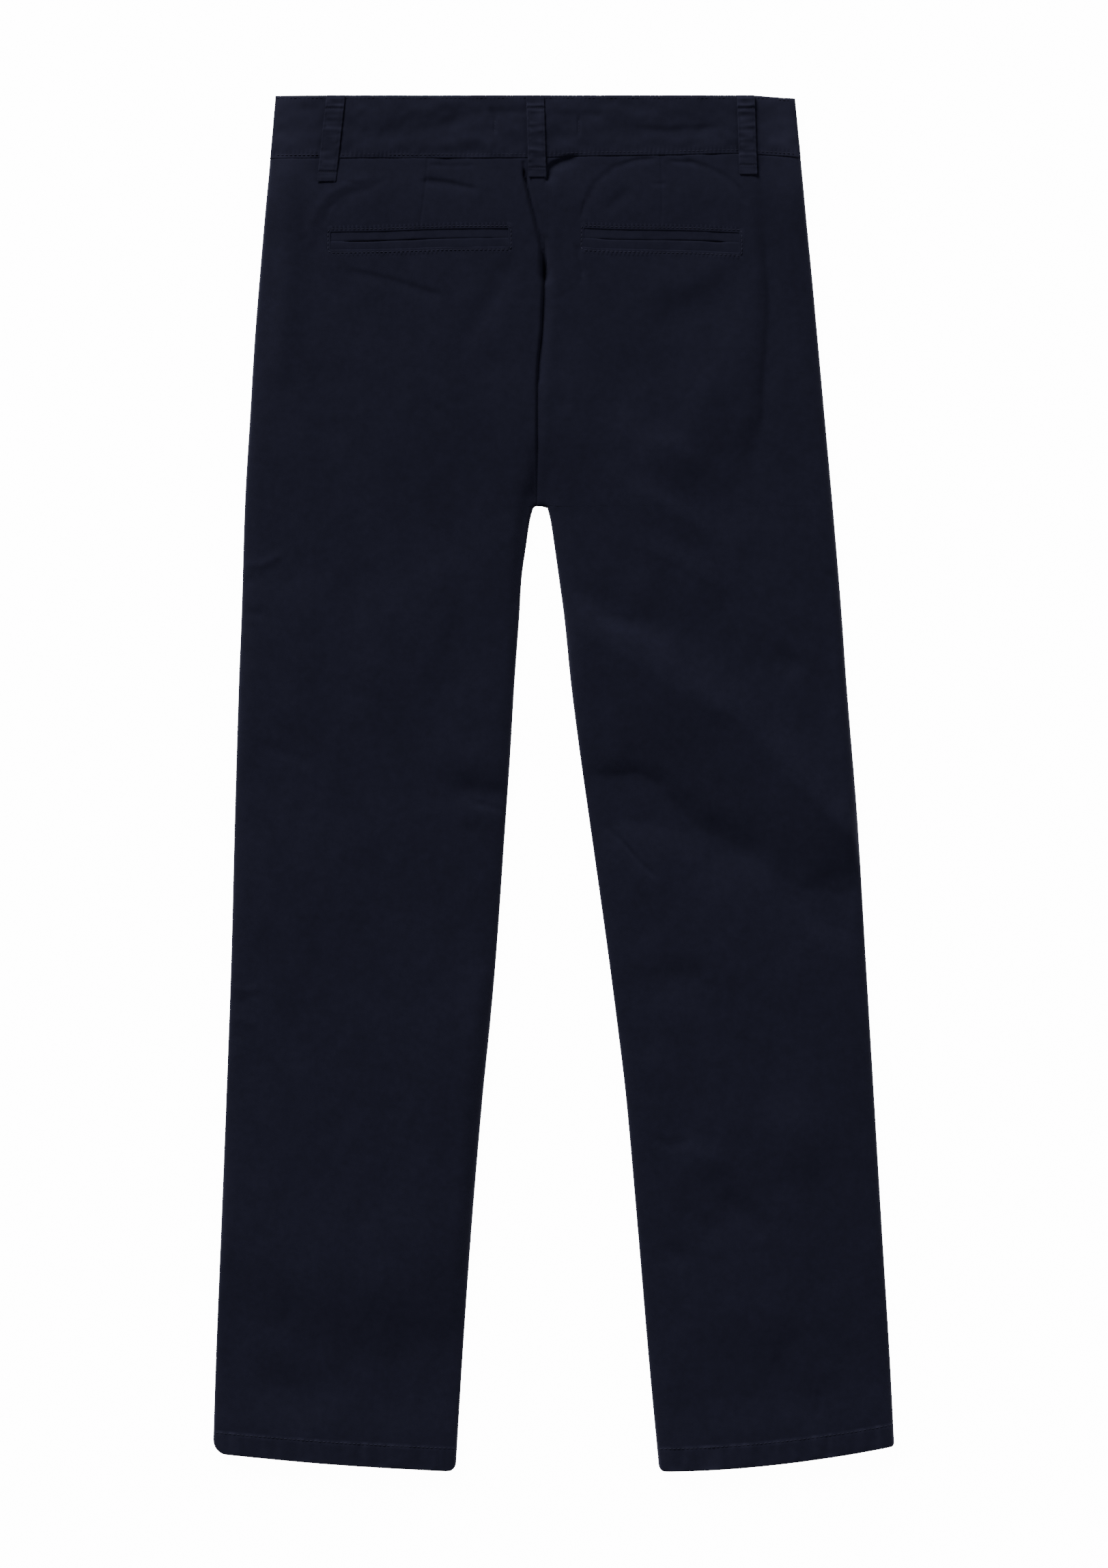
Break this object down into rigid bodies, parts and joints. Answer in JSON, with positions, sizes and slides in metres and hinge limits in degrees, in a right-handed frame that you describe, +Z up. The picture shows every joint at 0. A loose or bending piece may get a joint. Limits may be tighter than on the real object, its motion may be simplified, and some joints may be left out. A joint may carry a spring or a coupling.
{
  "type": "chino trousers",
  "caption": "Dark navy twill chino trousers laid flat with the back up: waistband with belt loops, darts, welt pockets, straight legs and turned-up hems.",
  "frame": {"origin": "on the surface it lies on, at the centre of the garment's box: midway between the hems' outer corners, and midway between the band's top edge and the lowest point of the hems", "axes": "+X to the wearer's right, +Y from the hems to the waistband, +Z up out of the seat and the backs of the legs"},
  "size_m": [0.4336, 0.8752, 0.011],
  "materials": {
    "cloth": "matte cotton twill, dark navy",
    "thread": "tonal sewing thread",
    "button": "dark four-hole button, soft gloss",
    "zip": "woven zip tape with a tonal chain"
  },
  "bodies": {
    "root": {"back_left": "cloth", "back_right": "cloth", "front_left": "cloth", "front_right": "cloth", "hip_facing_left": "cloth", "hip_facing_right": "cloth", "waistband_back": "cloth", "waistband_front_left": "cloth", "waistband_front_right": "cloth", "belt_loop_back_left": "cloth", "belt_loop_back_center": "cloth", "belt_loop_back_right": "cloth", "belt_loop_front_left": "cloth", "belt_loop_front_right": "cloth", "pocket_welt_upper_left": "cloth", "pocket_welt_lower_left": "cloth", "pocket_welt_upper_right": "cloth", "pocket_welt_lower_right": "cloth", "fly_zip": "zip", "waist_button": "button"}
  },
  "joints": []
}
